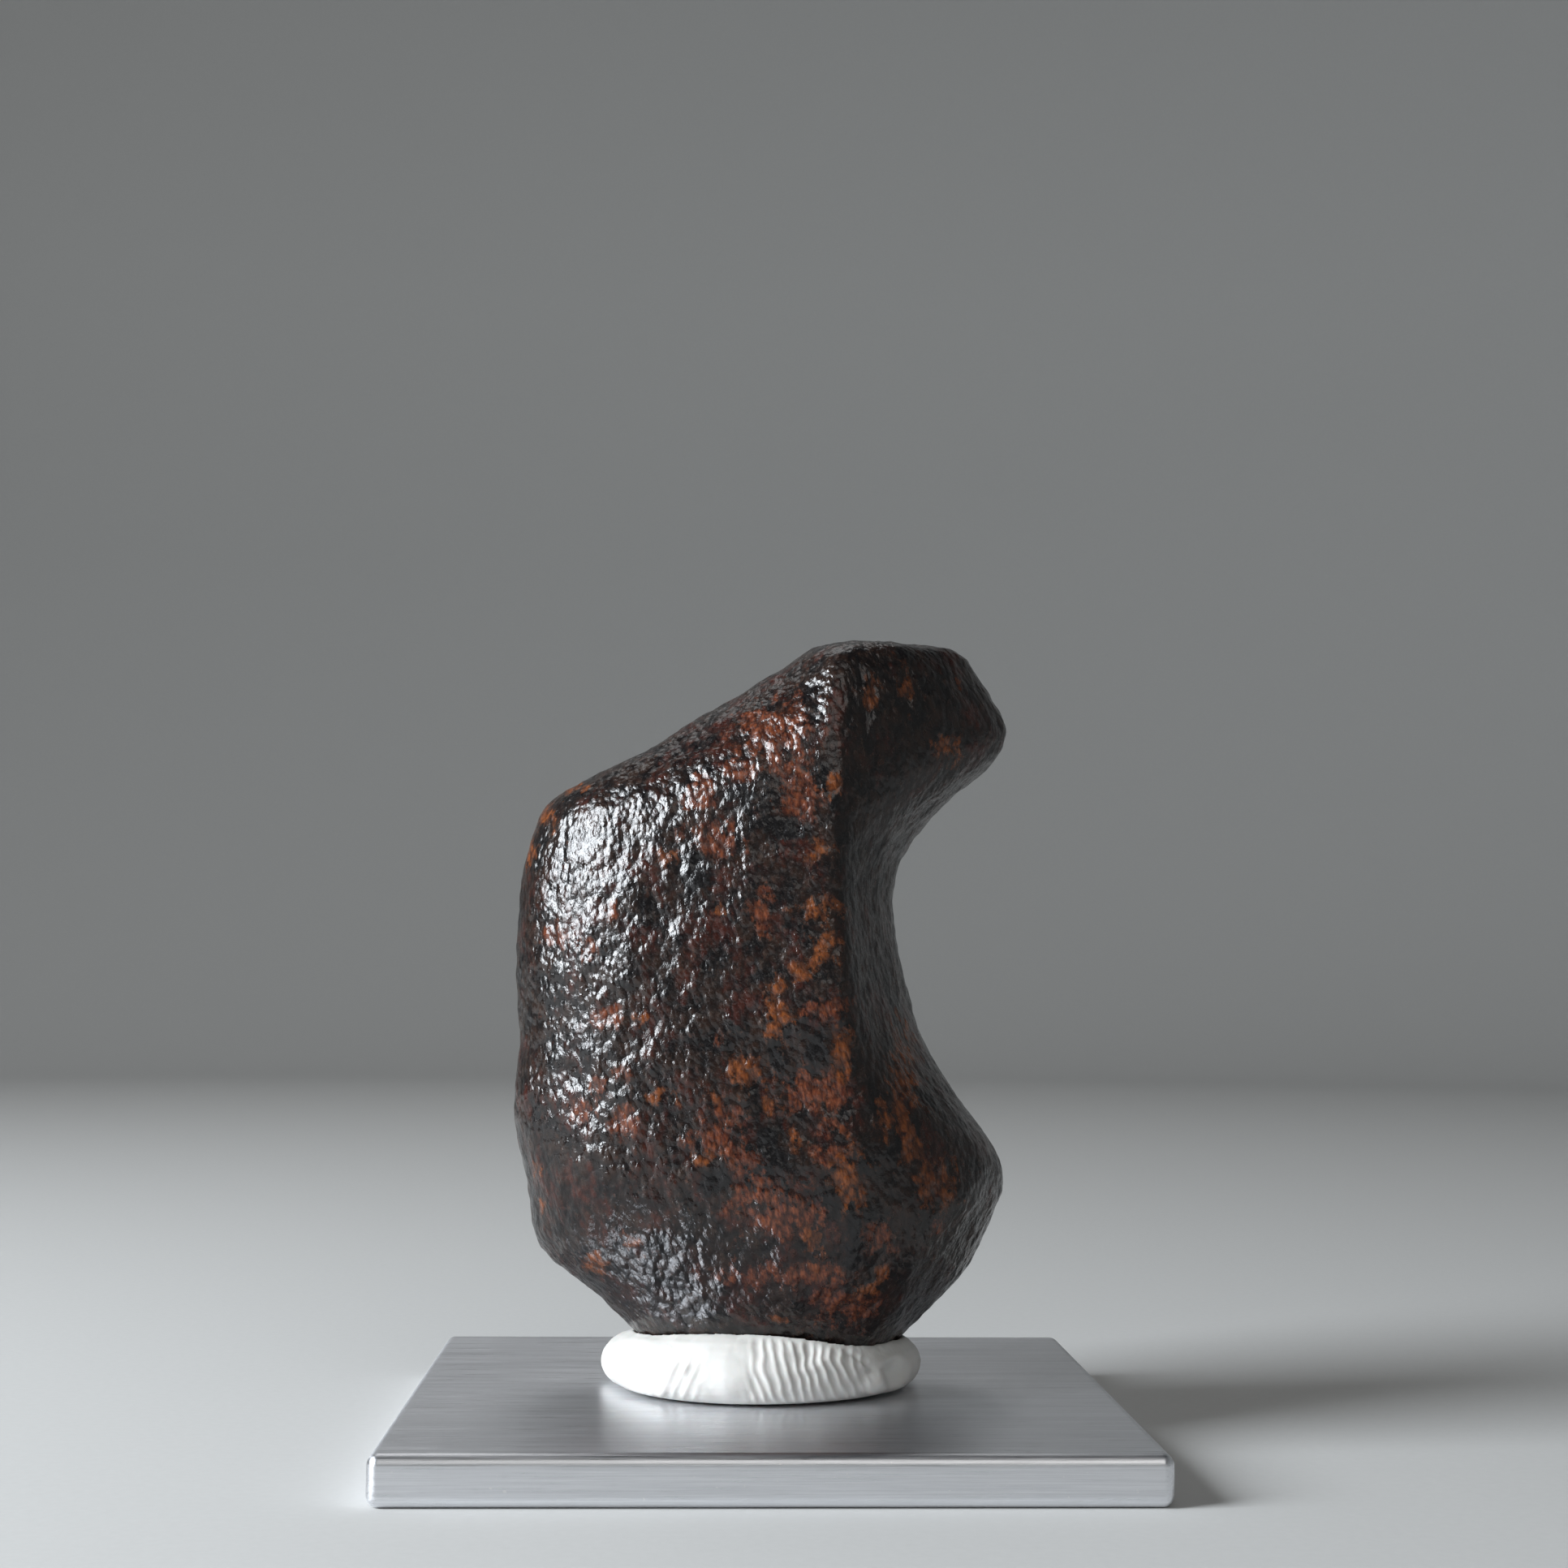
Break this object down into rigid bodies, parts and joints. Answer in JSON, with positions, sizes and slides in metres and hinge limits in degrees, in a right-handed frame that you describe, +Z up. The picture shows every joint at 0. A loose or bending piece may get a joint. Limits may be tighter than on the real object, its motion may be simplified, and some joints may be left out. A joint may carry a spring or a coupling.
{
  "type": "iron meteorite on a display plate",
  "caption": "Dark, lacquered-looking iron meteorite with a saddle-shaped hollow in its side, held upright by white mounting putty on a square brushed aluminium plate.",
  "frame": {"origin": "centre of the plate's underside, on the surface that it stands on", "axes": "+Z up, +X to the right and +Y away from someone facing the side of the stone that has the long ridge, both along the plate's edges"},
  "size_m": [0.045, 0.045, 0.0516],
  "materials": {
    "meteorite": "glossy dark desert varnish mottled with red-brown and orange rust, pebbly to the touch",
    "putty": "white mounting putty, satin, printed with finger ridges",
    "plate": "brushed from side to side, edges eased"
  },
  "bodies": {
    "root": {"meteorite": "meteorite", "putty": "putty", "plate": "plate"}
  },
  "joints": []
}
